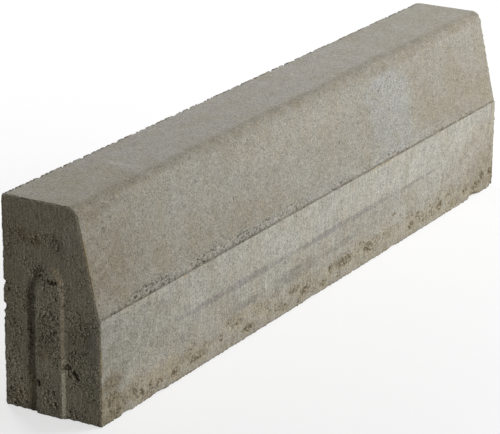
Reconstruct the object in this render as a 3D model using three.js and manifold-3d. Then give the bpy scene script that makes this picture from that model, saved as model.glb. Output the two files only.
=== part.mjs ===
// Precast concrete kerb stone, 13/10 x 25 cm by 1 m, half battered, with a tongue-and-groove end joint.
//
// Units are millimetres. +X runs along the kerb, the road face looks to -Y and +Z is up.
// The origin is the centre of the bed face.

import * as THREE from 'three';
import { mergeVertices } from 'three/addons/utils/BufferGeometryUtils.js';
import Module from 'manifold-3d';

// Section across the kerb
const LENGTH = 1000;
const BASE_WIDTH = 130;
const TOP_WIDTH = 100;
const HEIGHT = 250;
const UPRIGHT_HEIGHT = 125; // upright lower half of the road face
const LEDGE = 1.5; // the upright face stands this far proud of the foot of the batter
const ROAD_ARRIS_RADIUS = 15; // top edge on the road side
const BACK_ARRIS_RADIUS = 4; // top edge on the footway side
const END_CHAMFER = 1.5; // all round both ends

// Joint between neighbouring kerbs: an arch-topped tongue on one end, its groove on the other.
// The tongue's sides stand steep, and its arched top slopes back to the end face like a ramp.
const TONGUE_STAND = 5; // how far the crown stands out of the end face
const TONGUE_FOOT_WIDTH = 38; // at the end face
const TONGUE_CROWN_WIDTH = 35;
const TONGUE_FOOT_HEIGHT = 178; // from the bed to the top of the arch, at the end face
const TONGUE_CROWN_HEIGHT = 162;
const TONGUE_SETBACK = 66.5; // from the upright road face to the tongue's middle
const JOINT_CLEARANCE = 1; // the groove is this much wider, higher and deeper than the tongue

// Values that follow from the sizes above
const ROAD_FACE_Y = -BASE_WIDTH / 2;
const BACK_FACE_Y = BASE_WIDTH / 2;
const TOP_EDGE_Y = BACK_FACE_Y - TOP_WIDTH;
const JOINT_Y = ROAD_FACE_Y + TONGUE_SETBACK;

const SECTION_ARC_SEGMENTS = 8;
const ARCH_SEGMENTS = 24;
const BURIED_DEPTH = 5; // how far a joint shape reaches behind the face that it joins or cuts
const BED_OVERRUN = 20; // how far a joint shape reaches below the bed before it is trimmed

// Turns an outline drawn as (across, up) and extruded towards +Z into (Y, Z) extruded towards +X.
const ALONG_KERB = new THREE.Matrix4().makeBasis(
  new THREE.Vector3(0, 1, 0),
  new THREE.Vector3(0, 0, 1),
  new THREE.Vector3(1, 0, 0),
);

const manifold = await Module();
manifold.setup();

// A closed outline through the given corners; a corner with a radius becomes a tangent arc.
function outlineWithRoundedCorners(corners) {
  const shape = new THREE.Shape();
  corners.forEach(({ point, radius = 0 }, index) => {
    const before = corners.at(index - 1).point;
    const after = corners[(index + 1) % corners.length].point;
    const towardsBefore = before.clone().sub(point).normalize();
    const towardsAfter = after.clone().sub(point).normalize();
    const halfAngle = Math.acos(towardsBefore.dot(towardsAfter)) / 2;
    const tangentLength = radius / Math.tan(halfAngle);
    const arcStart = point.clone().addScaledVector(towardsBefore, tangentLength);
    if (index === 0) {
      shape.moveTo(arcStart.x, arcStart.y);
    } else {
      shape.lineTo(arcStart.x, arcStart.y);
    }
    if (radius > 0) {
      const bisector = towardsBefore.clone().add(towardsAfter).normalize();
      const centre = point.clone().addScaledVector(bisector, radius / Math.sin(halfAngle));
      const arcEnd = point.clone().addScaledVector(towardsAfter, tangentLength);
      const startAngle = arcStart.clone().sub(centre).angle();
      const endAngle = arcEnd.clone().sub(centre).angle();
      shape.absarc(centre.x, centre.y, radius, startAngle, endAngle, false);
    }
  });
  shape.closePath();
  return shape;
}

// The kerb's section, walked anticlockwise as seen from the +X end.
function kerbSection() {
  const corner = (across, up, radius) => ({ point: new THREE.Vector2(across, up), radius });
  return outlineWithRoundedCorners([
    corner(ROAD_FACE_Y, 0),
    corner(BACK_FACE_Y, 0),
    corner(BACK_FACE_Y, HEIGHT, BACK_ARRIS_RADIUS),
    corner(TOP_EDGE_Y, HEIGHT, ROAD_ARRIS_RADIUS),
    corner(ROAD_FACE_Y + LEDGE, UPRIGHT_HEIGHT),
    corner(ROAD_FACE_Y, UPRIGHT_HEIGHT),
  ]);
}

// The section run along the kerb, with a chamfer round each end face.
function kerbBody() {
  const geometry = new THREE.ExtrudeGeometry(kerbSection(), {
    depth: LENGTH - 2 * END_CHAMFER,
    curveSegments: SECTION_ARC_SEGMENTS,
    bevelEnabled: true,
    bevelThickness: END_CHAMFER,
    bevelSize: END_CHAMFER,
    bevelOffset: -END_CHAMFER,
    bevelSegments: 1,
  });
  geometry.applyMatrix4(ALONG_KERB);
  geometry.translate(-LENGTH / 2 + END_CHAMFER, 0, 0);
  return geometry;
}

// The tongue's outline where it meets the end face, run on below the bed.
function archOutline(halfWidth, height) {
  const springing = height - halfWidth;
  const outline = new THREE.Shape();
  outline.moveTo(-halfWidth, -BED_OVERRUN);
  outline.lineTo(halfWidth, -BED_OVERRUN);
  outline.lineTo(halfWidth, springing);
  outline.absarc(0, springing, halfWidth, 0, Math.PI, false);
  outline.closePath();
  return outline;
}

// The tongue at the -X end, grown all over by a clearance when it is the groove's cutter.
// A straight prism is drawn in from its foot, at the end face, to its narrower and lower crown.
function archedTongue(clearance) {
  const stand = TONGUE_STAND + clearance;
  const footHalfWidth = TONGUE_FOOT_WIDTH / 2 + clearance;
  const footHeight = TONGUE_FOOT_HEIGHT + clearance;
  const widthRatio = (TONGUE_CROWN_WIDTH / 2 + clearance) / footHalfWidth;
  const heightRatio = (TONGUE_CROWN_HEIGHT + clearance) / footHeight;

  const geometry = new THREE.ExtrudeGeometry(archOutline(footHalfWidth, footHeight), {
    depth: stand + BURIED_DEPTH,
    curveSegments: ARCH_SEGMENTS,
    bevelEnabled: false,
  });
  geometry.applyMatrix4(ALONG_KERB);
  geometry.translate(-stand, 0, 0);

  const { position } = geometry.attributes;
  for (let i = 0; i < position.count; i += 1) {
    const towardsCrown = -position.getX(i) / stand; // 0 at the end face and 1 at the crown
    position.setY(i, position.getY(i) * (1 + (widthRatio - 1) * towardsCrown));
    position.setZ(i, position.getZ(i) * (1 + (heightRatio - 1) * towardsCrown));
  }
  geometry.translate(-LENGTH / 2, JOINT_Y, 0);
  return geometry;
}

// A block that holds everything above the bed, used to trim the tongue flush with it.
function spaceAboveBed() {
  const margin = 2 * BED_OVERRUN;
  const geometry = new THREE.BoxGeometry(LENGTH + margin, BASE_WIDTH + margin, HEIGHT + margin);
  geometry.translate(0, 0, (HEIGHT + margin) / 2);
  return geometry;
}

// A manifold solid from a closed three.js geometry.
function solidFrom(geometry) {
  const bare = geometry.clone();
  bare.deleteAttribute('normal');
  bare.deleteAttribute('uv');
  const welded = mergeVertices(bare);
  return new manifold.Manifold(new manifold.Mesh({
    numProp: 3,
    vertProperties: new Float32Array(welded.attributes.position.array),
    triVerts: new Uint32Array(welded.index.array),
  }));
}

// A three.js geometry from a manifold solid.
function geometryFrom(solid) {
  const { vertProperties, triVerts } = solid.getMesh();
  const geometry = new THREE.BufferGeometry();
  geometry.setAttribute('position', new THREE.BufferAttribute(vertProperties, 3));
  geometry.setIndex(new THREE.BufferAttribute(triVerts, 1));
  geometry.computeVertexNormals();
  return geometry;
}

function kerbStone() {
  const tongue = solidFrom(archedTongue(0)).intersect(solidFrom(spaceAboveBed()));
  const grooveCutter = archedTongue(JOINT_CLEARANCE).translate(LENGTH, 0, 0);
  const solid = solidFrom(kerbBody()).add(tongue).subtract(solidFrom(grooveCutter));
  const concrete = new THREE.MeshStandardMaterial({ color: 0x9a958a, roughness: 0.95, metalness: 0 });
  const mesh = new THREE.Mesh(geometryFrom(solid), concrete);
  mesh.name = 'kerb_stone';
  return mesh;
}

const kerb = new THREE.Group();
kerb.add(kerbStone());

export default kerb;
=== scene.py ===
"""A precast concrete kerb stone: the weathered casting, its concrete finish and the studio round it.

Lengths inside the classes are in millimetres, because the kerb is made to millimetres; MM turns
them into Blender's units. The frame is the casting's own: +X runs along the kerb away from the
tongue end, the road face looks to -Y, +Z is up and the origin is the centre of the bed face.
"""

import logging
import math
from collections.abc import Iterable
from dataclasses import dataclass, field
from enum import Enum

import bmesh
import bpy
import numpy as np
from mathutils import Matrix, Vector

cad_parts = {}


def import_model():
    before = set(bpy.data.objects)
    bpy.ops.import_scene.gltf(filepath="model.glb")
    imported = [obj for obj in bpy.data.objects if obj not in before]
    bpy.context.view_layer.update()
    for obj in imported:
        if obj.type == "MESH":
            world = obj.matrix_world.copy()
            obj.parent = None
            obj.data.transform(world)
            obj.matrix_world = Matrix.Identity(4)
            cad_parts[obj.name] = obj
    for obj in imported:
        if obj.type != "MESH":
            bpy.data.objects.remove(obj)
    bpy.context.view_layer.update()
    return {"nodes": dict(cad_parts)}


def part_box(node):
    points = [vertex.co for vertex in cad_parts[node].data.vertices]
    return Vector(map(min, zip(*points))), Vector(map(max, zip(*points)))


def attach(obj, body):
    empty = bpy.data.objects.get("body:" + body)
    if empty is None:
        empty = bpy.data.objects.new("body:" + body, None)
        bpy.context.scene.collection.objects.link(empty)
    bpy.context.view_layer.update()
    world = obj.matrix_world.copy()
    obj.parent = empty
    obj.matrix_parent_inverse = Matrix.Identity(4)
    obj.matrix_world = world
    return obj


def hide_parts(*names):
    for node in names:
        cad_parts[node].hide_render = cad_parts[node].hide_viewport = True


LOG = logging.getLogger("kerb")
MM = 0.001  # a millimetre in Blender's metres
WHITE = (1.0, 1.0, 1.0, 1.0)
NOISE_MEAN = 0.5
TOUCHING = 0.02  # millimetres within which two places count as one
FAR = 99.0  # millimetres, further than any mark reaches
Triple = tuple[float, float, float]
Span = tuple[float, float]  # where a mask starts to rise and where it is full, in either order


# ---- Marks and textures on the casting --------------------------------------------------------


class Side(Enum):
    """A side of the casting, by the name of the attribute that marks its points.

    Patches are placed on a side by two distances, here called first and second.
    """

    TOP = "top"  # from the tongue end, and from the road edge
    BATTER = "batter"  # from the tongue end, and above the bed
    UPRIGHT = "upright"  # from the tongue end, and above the bed
    TONGUE_END = "tongue_end"  # from the back face, and above the bed
    GROOVE_END = "groove_end"
    BACK = "back"
    BED = "bed"


@dataclass(frozen=True)
class Patch:
    """A soft-edged ellipse on one side of the casting.

    Attributes:
        first: Where its middle is by the side's first distance, in millimetres.
        second: Where its middle is by the side's second distance, in millimetres.
        half_first: Half its size along the first distance.
        half_second: Half its size along the second distance.
        amount: How strong or how deep it is.
        soft: The share of its radius over which it fades out.
    """

    first: float
    second: float
    half_first: float
    half_second: float
    amount: float = 1.0
    soft: float = 0.6


@dataclass(frozen=True)
class Noise:
    """Soft random blotches of one kind.

    Attributes:
        size: The width of a blotch, in millimetres.
        detail: How many finer octaves it has.
        roughness: How strong the finer octaves are.
        start: The value of the noise, which is mostly 0.3 to 0.7, at which its mask starts to rise.
        full: The value at which its mask is 1; it may be lower than start.
        stretch: What the place is multiplied by, to draw the blotches out where it is below 1.
    """

    size: float
    detail: float = 2.0
    roughness: float = 0.5
    start: float = 0.0
    full: float = 1.0
    stretch: Triple | None = None


@dataclass(frozen=True)
class Spots:
    """Scattered round spots of one kind and of mixed size.

    Attributes:
        spacing: The mean distance between places where a spot may be, in millimetres.
        radius: The largest spot's radius, in millimetres.
        share: The share of the places that hold a spot.
        shift: What is added to the place, so that spots of two kinds don't fall together.
        push: What makes the spots ragged, if they are.
        reach: How far it pushes their outline, in millimetres.
    """

    spacing: float
    radius: float
    share: float
    shift: Triple | None = None
    push: Noise | None = None
    reach: float = 0.0


# The small holes that grains have left in open concrete
GRAIN_HOLES = Spots(3.3, 1.9, 0.5, push=Noise(3.0, 1.0), reach=0.8)


# ---- Node graphs written as expressions -------------------------------------------------------


class Signal:
    """A number, vector or colour that leaves a node. Arithmetic on it adds Math nodes."""

    def __init__(self, graph: "Graph", socket: bpy.types.NodeSocket) -> None:
        """Wraps one output socket.

        Args:
            graph: The graph that the socket's node is in.
            socket: The output socket.
        """
        self.graph = graph
        self.socket = socket

    def __add__(self, other: "Signal | float") -> "Signal":
        """This plus other."""
        return self.graph.maths("ADD", self, other)

    def __radd__(self, other: float) -> "Signal":
        """A number plus this."""
        return self.graph.maths("ADD", other, self)

    def __sub__(self, other: "Signal | float") -> "Signal":
        """This less other."""
        return self.graph.maths("SUBTRACT", self, other)

    def __rsub__(self, other: float) -> "Signal":
        """A number less this."""
        return self.graph.maths("SUBTRACT", other, self)

    def __mul__(self, other: "Signal | float") -> "Signal":
        """This times other."""
        return self.graph.maths("MULTIPLY", self, other)

    def __rmul__(self, other: float) -> "Signal":
        """A number times this."""
        return self.graph.maths("MULTIPLY", other, self)

    def __truediv__(self, other: "Signal | float") -> "Signal":
        """This divided by other."""
        return self.graph.maths("DIVIDE", self, other)

    def __rtruediv__(self, other: float) -> "Signal":
        """A number divided by this."""
        return self.graph.maths("DIVIDE", other, self)

    def larger_of(self, other: "Signal | float") -> "Signal":
        """The larger of this and other."""
        return self.graph.maths("MAXIMUM", self, other)

    def rise(self, start: float, full: float) -> "Signal":
        """A mask of this value.

        Args:
            start: The value at which the mask is 0.
            full: The value at which the mask is 1; it may be lower than start.

        Returns:
            A signal that climbs smoothly from 0 at start to 1 at full.
        """
        settings = {"interpolation_type": "SMOOTHSTEP"}
        low, high, bottom, top = (start, full, 0.0, 1.0) if start < full else (full, start, 1.0, 0.0)
        sockets = {"Value": self, "From Min": low, "From Max": high, "To Min": bottom, "To Max": top}
        return self.graph.add("ShaderNodeMapRange", settings, sockets, "Result")


class Graph:
    """A shader or geometry node tree, with one method that adds any node."""

    def __init__(self, tree: bpy.types.NodeTree) -> None:
        """Starts from an empty tree.

        Args:
            tree: The tree to fill; its nodes are cleared.
        """
        self.tree = tree
        tree.nodes.clear()

    def node(self, kind: str, settings: dict | None = None, sockets: dict | None = None) -> bpy.types.Node:
        """Adds one node.

        Args:
            kind: The node's type, such as ShaderNodeBump.
            settings: Properties of the node, set before its sockets.
            sockets: Values or signals by input name or number.

        Returns:
            The node.
        """
        made = self.tree.nodes.new(kind)
        for name, value in (settings or {}).items():
            setattr(made, name, value)
        for name, value in (sockets or {}).items():
            if isinstance(value, Signal):
                self.tree.links.new(value.socket, made.inputs[name])
            else:
                made.inputs[name].default_value = value
        return made

    def add(self, kind: str, settings: dict | None, sockets: dict | None, output: str | int) -> Signal:
        """Adds one node and returns the signal of one of its outputs."""
        return Signal(self, self.node(kind, settings, sockets).outputs[output])

    def maths(self, operation: str, *values: Signal | float) -> Signal:
        """Adds a Math node on numbers."""
        return self.add("ShaderNodeMath", {"operation": operation}, dict(enumerate(values)), 0)

    def vector(self, operation: str, *values: Signal | Triple, output: str = "Vector") -> Signal:
        """Adds a Vector Math node on vectors."""
        return self.add("ShaderNodeVectorMath", {"operation": operation}, dict(enumerate(values)), output)

    def scaled(self, vector: Signal, factor: Signal | float) -> Signal:
        """A vector or colour times a number."""
        settings = {"operation": "SCALE"}
        return self.add("ShaderNodeVectorMath", settings, {0: vector, "Scale": factor}, "Vector")

    def axes(self, vector: Signal) -> tuple[Signal, Signal, Signal]:
        """The x, y and z of a vector."""
        split = self.node("ShaderNodeSeparateXYZ", None, {"Vector": vector})
        return tuple(Signal(self, split.outputs[i]) for i in range(3))

    def joined(self, x: Signal, y: Signal) -> Signal:
        """A vector from its x and y."""
        return self.add("ShaderNodeCombineXYZ", None, {"X": x, "Y": y}, 0)

    def patches(self, plane: Signal, patches: Iterable[Patch]) -> Signal:
        """The strongest of several patches at each place.

        Args:
            plane: A side's first and second distance, as a vector.
            patches: The patches on that side.

        Returns:
            The amount of the strongest patch, 0 outside them all.
        """
        strongest = None
        for patch in patches:
            shrink = (1 / patch.half_first, 1 / patch.half_second, 0.0)
            shift = (-patch.first * shrink[0], -patch.second * shrink[1], 0.0)
            away = self.vector("LENGTH", self.vector("MULTIPLY_ADD", plane, shrink, shift), output="Value")
            mask = away.rise(1.0, 1.0 - patch.soft) * patch.amount
            strongest = strongest.larger_of(mask) if strongest else mask
        return strongest

    def mark(self, name: str) -> Signal:
        """Reads one of the numbers stored on the casting.

        Args:
            name: The name that it is stored by.

        Returns:
            The number at each point.
        """
        if self.tree.bl_idname == "GeometryNodeTree":
            return self.add("GeometryNodeInputNamedAttribute", {"data_type": "FLOAT"}, {"Name": name}, 0)
        return self.add("ShaderNodeAttribute", {"attribute_name": name}, None, "Fac")

    def shown(self) -> Signal:
        """Tells rays that show a thing to the camera from those that only light other things.

        Returns:
            1 for a ray that comes from the camera straight, mirrored or through glass, and 0 otherwise.
        """
        rays = self.node("ShaderNodeLightPath")
        direct, mirrored, through = (
            Signal(self, rays.outputs[f"Is {kind} Ray"]) for kind in ("Camera", "Glossy", "Transmission")
        )
        return direct.larger_of(mirrored).larger_of(through)

    def shaded(self, amount: Signal | float, colour: Signal, shade: Triple) -> Signal:
        """A colour, multiplied by a shade where the amount is 1."""
        settings = {"data_type": "RGBA", "blend_type": "MULTIPLY", "clamp_factor": True}
        return self.add("ShaderNodeMix", settings, {0: amount, 6: colour, 7: (*shade, 1.0)}, 2)

    def blend(self, amount: Signal | float, first: Signal | Triple, second: Signal | Triple) -> Signal:
        """Mixes two colours.

        Args:
            amount: How much of the second colour the mix has.
            first: The colour at an amount of 0.
            second: The colour at an amount of 1.

        Returns:
            The mixed colour.
        """
        settings = {"data_type": "RGBA", "clamp_factor": True}
        colours = [c if isinstance(c, Signal) else (*c, 1.0) for c in (first, second)]
        return self.add("ShaderNodeMix", settings, {0: amount, 6: colours[0], 7: colours[1]}, 2)


class Surface:
    """The casting's surface in a node tree: where each point is, its marks and random textures."""

    # The smallest spot as a share of the largest, and how softly spots end and are picked
    smallest_spot: float = 0.3
    spot_edge: float = 0.6
    pick_edge: float = 0.01

    def __init__(self, graph: Graph, place: Signal) -> None:
        """Reads the marks.

        Args:
            graph: The graph to fill.
            place: The place of each point, in millimetres.
        """
        self.graph = graph
        self.place = place
        self.sides = {side: graph.mark(side.value) for side in Side}
        self.ends = self.sides[Side.TONGUE_END].larger_of(self.sides[Side.GROOVE_END])
        self.made: dict[Noise | Spots, Signal] = {}

    def _new_noise(self, kind: Noise, output: str) -> Signal:
        """Adds the noise of one kind.

        Args:
            kind: The kind of noise.
            output: What is taken of it: Fac, its value, or Color, three values in one.

        Returns:
            The noise, about 0.5.
        """
        place = self.graph.vector("MULTIPLY", self.place, kind.stretch) if kind.stretch else self.place
        scale = 1 / kind.size
        sockets = {"Vector": place, "Scale": scale, "Detail": kind.detail, "Roughness": kind.roughness}
        return self.graph.add("ShaderNodeTexNoise", None, sockets, output)

    def noise(self, kind: Noise) -> Signal:
        """The value of the noise of one kind. Its node is added once.

        Args:
            kind: The kind of noise.

        Returns:
            The noise, about 0.5.
        """
        if kind not in self.made:
            self.made[kind] = self._new_noise(kind, "Fac")
        return self.made[kind]

    def swing(self, kind: Noise) -> Signal:
        """The noise of one kind, about 0."""
        return self.noise(kind) - NOISE_MEAN

    def mask(self, kind: Noise) -> Signal:
        """The noise of one kind as a mask that rises where its start and full say."""
        return self.noise(kind).rise(kind.start, kind.full)

    def warped(self, push: Noise, reach: float) -> Signal:
        """The place pushed about by noise, so that what is drawn there gets a ragged outline.

        Args:
            push: The kind of noise that pushes.
            reach: How far a push goes, in millimetres.

        Returns:
            The pushed place.
        """
        centred = self.graph.vector("SUBTRACT", self._new_noise(push, "Color"), (NOISE_MEAN,) * 3)
        return self.graph.vector("ADD", self.place, self.graph.scaled(centred, 2 * reach))

    def cells(self, spacing: float, place: Signal) -> tuple[Signal, Signal, Signal]:
        """Random cells.

        Args:
            spacing: The mean distance between cells, in millimetres.
            place: Where the cells are looked up.

        Returns:
            Two random numbers for each cell, and how far from its middle a place is, by the spacing.
        """
        found = self.graph.node("ShaderNodeTexVoronoi", None, {"Vector": place, "Scale": 1 / spacing})
        chance, other, _ = self.graph.axes(Signal(self.graph, found.outputs["Color"]))
        return chance, other, Signal(self.graph, found.outputs["Distance"])

    def spots(self, kind: Spots) -> Signal:
        """Scattered spots of one kind. Their nodes are added once.

        Args:
            kind: The kind of spots.

        Returns:
            A signal that is 1 at a spot's middle and 0 outside it.
        """
        if kind not in self.made:
            place = self.warped(kind.push, kind.reach) if kind.push else self.place
            if kind.shift:
                place = self.graph.vector("ADD", place, kind.shift)
            chance, size, away = self.cells(kind.spacing, place)
            size = size * (1.0 - self.smallest_spot) + self.smallest_spot
            inside = (1 - away / (size * (kind.radius / kind.spacing))).rise(0.0, self.spot_edge)
            self.made[kind] = inside * chance.rise(kind.share + self.pick_edge, kind.share)
        return self.made[kind]

    def by_side(self, plain: float, **more: float) -> Signal:
        """A strength that differs from side to side.

        Args:
            plain: What it is everywhere.
            **more: How much more it is on a side, by the side's own name, or on both ends.

        Returns:
            The strength at each point.
        """
        marks = {"ends": self.ends, **{side.value: mark for side, mark in self.sides.items()}}
        return sum(marks[name] * amount for name, amount in more.items()) + plain


# ---- The casting's shape ----------------------------------------------------------------------


@dataclass(frozen=True)
class FaceChoice:
    """Faces chosen by where they look and where they lie.

    Attributes:
        facing: The direction that they look in.
        least: The least cosine between that direction and a face's normal.
        beyond: How far out along that direction a face's middle lies at least, in millimetres.
    """

    facing: Triple
    least: float = 0.5
    beyond: float = -1000.0

    def takes(self, face: bmesh.types.BMFace) -> bool:
        """Tells whether a face is one of them.

        Args:
            face: A face of the mesh that is cut.

        Returns:
            Whether the face looks and lies as it should.
        """
        facing = Vector(self.facing)
        far_enough = face.calc_center_median().dot(facing) > self.beyond * MM
        return far_enough and face.normal.dot(facing) > self.least


@dataclass(frozen=True)
class Wear:
    """Where and how deep the casting is worn away, in millimetres.

    Attributes:
        waves: The slight unevenness of the faces.
        wave_depth: Its depth.
        crumbs: The crumbling of the arrises.
        crumbling_reach: How far from an arris it goes.
        far_reach: How far from the groove end the road face crumbles more.
        far_depth: How much more.
        blunting_reach: How far from an arris it is blunted.
        blunting_depth: How deep it is.
        spared_above: From what height the tongue's edges are spared.
        spared: By what share.
        spared_low: Below what height they are spared more.
        spared_more: By what further share.
        ridge: The broken ridge of the back arris.
        ridge_reach: How far it goes, by the back arris's mark.
        ridge_depth: How deep it is.
        ridge_stretches: Where along the kerb it gets deeper, and by how much.
        tongue_foot: How deep the bed of the tongue is broken away.
        back_notches: Notches in the back arris of the tongue end, placed round it and by their
            height; amount is the depth.
        bed_chips: Chips in the bottom edge of the road face, placed along and round it; amount is
            the depth.
    """

    waves: Noise = Noise(70.0, start=0.3, full=0.7)
    wave_depth: float = 0.4
    crumbs: Noise = Noise(6.0, 3.0, 0.65, start=0.34, full=0.64)
    crumbling_reach: Span = (4.6, 0.4)
    far_reach: Span = (7.0, 1.0)
    far_depth: float = 2.3
    blunting_reach: Span = (2.4, 0.0)
    blunting_depth: float = 0.45
    spared_above: Span = (2.0, 8.0)
    spared: float = 0.35
    spared_low: Span = (150.0, 40.0)
    spared_more: float = 0.5
    ridge: Noise = Noise(4.6, start=0.55, full=0.45)
    ridge_reach: Span = (0.1, 0.8)
    ridge_depth: float = 2.4
    ridge_stretches: tuple[Triple, ...] = ((-300.0, -380.0, 0.9), (-420.0, -460.0, 1.0), (0.0, 250.0, 1.4))
    tongue_foot: float = 1.8
    back_notches: tuple[Patch, ...] = (
        Patch(0, 147, 8.0, 3.6, 3.4), Patch(0, 118, 8.0, 6.0, 3.2), Patch(0, 108, 6.0, 4.0, 2.0),
        Patch(0, 186, 6.0, 4.0), Patch(0, 222, 5.0, 3.0, 0.6),
    )
    bed_chips: tuple[Patch, ...] = (
        Patch(50, 0, 12, 3.2, 1.4), Patch(115, 0, 16, 3.0, 1.3), Patch(936, 0, 18, 8.0, 4.0),
        Patch(997, 0, 9, 12.0, 4.0), Patch(690, 0, 14, 3.0, 1.2), Patch(470, 0, 18, 3.0),
    )

    def depth(self, surface: Surface, ragged: Signal, casting: "Casting") -> Signal:
        """How deep each point is worn away.

        Args:
            surface: The casting's surface.
            ragged: The place of each point, pushed about.
            casting: The casting.

        Returns:
            The depth in millimetres, never below zero, so that the casting stays inside its outline.
        """
        graph, sides, by_side = surface.graph, surface.sides, surface.by_side
        along, _, up = graph.axes(surface.place)
        arris, tongue, back_arris = (graph.mark(name) for name in ("arris", "tongue", "back_arris"))
        upright, bed = sides[Side.UPRIGHT], sides[Side.BED]

        wave = surface.mask(self.waves) * self.wave_depth
        crumble = surface.mask(self.crumbs) * arris.rise(*self.crumbling_reach)
        reach = by_side(0.25, back=1.1, bed=0.9, tongue_end=0.35, groove_end=1.1)
        far = along.rise(*(casting.length / 2 - inset for inset in self.far_reach))
        reach = reach + far * (upright + sides[Side.BATTER]) * self.far_depth
        blunt = arris.rise(*self.blunting_reach) * self.blunting_depth
        spared = up.rise(*self.spared_low) * self.spared_more + self.spared
        exposed = 1 - tongue * up.rise(*self.spared_above) * spared

        broken = self.ridge_depth
        for start, full, depth in self.ridge_stretches:
            broken = broken + along.rise(start, full) * depth
        ridge = surface.mask(self.ridge) * back_arris.rise(*self.ridge_reach) * broken

        ragged_along, ragged_across, ragged_up = graph.axes(ragged)
        from_end = ragged_along + casting.length / 2
        round_back_arris = graph.joined(from_end + casting.width / 2 - ragged_across, ragged_up)
        round_bed_arris = graph.joined(from_end, ragged_up + ragged_across + casting.width / 2)
        notched = sides[Side.BACK].larger_of(sides[Side.TONGUE_END])
        notches = graph.patches(round_back_arris, self.back_notches) * notched
        chips = graph.patches(round_bed_arris, self.bed_chips) * upright.larger_of(bed)
        edges = (crumble * reach + blunt) * exposed
        return wave * (1 - bed) + edges + ridge + notches + chips + tongue * bed * self.tongue_foot


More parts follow.
